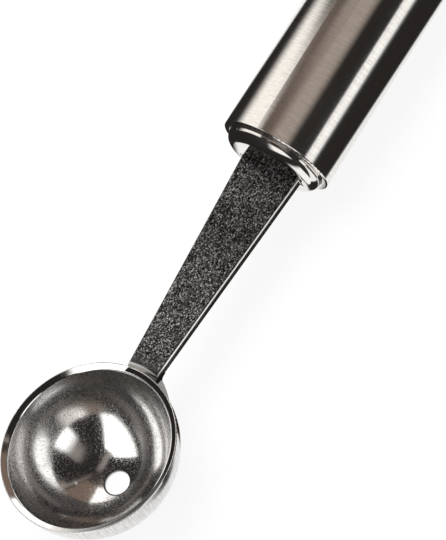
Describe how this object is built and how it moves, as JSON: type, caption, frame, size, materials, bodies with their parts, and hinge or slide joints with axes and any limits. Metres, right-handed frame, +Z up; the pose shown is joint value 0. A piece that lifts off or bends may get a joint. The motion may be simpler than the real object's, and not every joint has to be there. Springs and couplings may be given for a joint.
{
  "type": "melon baller",
  "caption": "Kitchen scoop that cuts balls of melon: a round steel bowl with a drain hole, a tapered shank and a hollow tube handle with a hanging loop.",
  "frame": {"origin": "on the surface that the tool lies on, under the middle of its box", "axes": "+X along the tool from the bowl to the hanging loop, +Z up out of the bowl's mouth"},
  "size_m": [0.193, 0.03, 0.0217],
  "materials": {
    "bowl_steel": "mirror polished",
    "plug_steel": "mirror polished",
    "tube_steel": "brushed round the axis",
    "shank_steel": "tumbled, finely speckled",
    "loop_steel": "polished wire",
    "weld_steel": "as welded",
    "braze_alloy": "silver braze",
    "adhesive": "cured resin"
  },
  "bodies": {
    "root": {"bowl": "bowl_steel", "bowl_braze": "braze_alloy", "shank": "shank_steel", "front_plug": "plug_steel", "front_plug_bond": "adhesive", "tang_welds": "weld_steel", "handle_tube": "tube_steel", "rear_plug": "plug_steel", "rear_plug_bond": "adhesive", "hanging_loop": "loop_steel", "loop_welds": "weld_steel"}
  },
  "joints": []
}
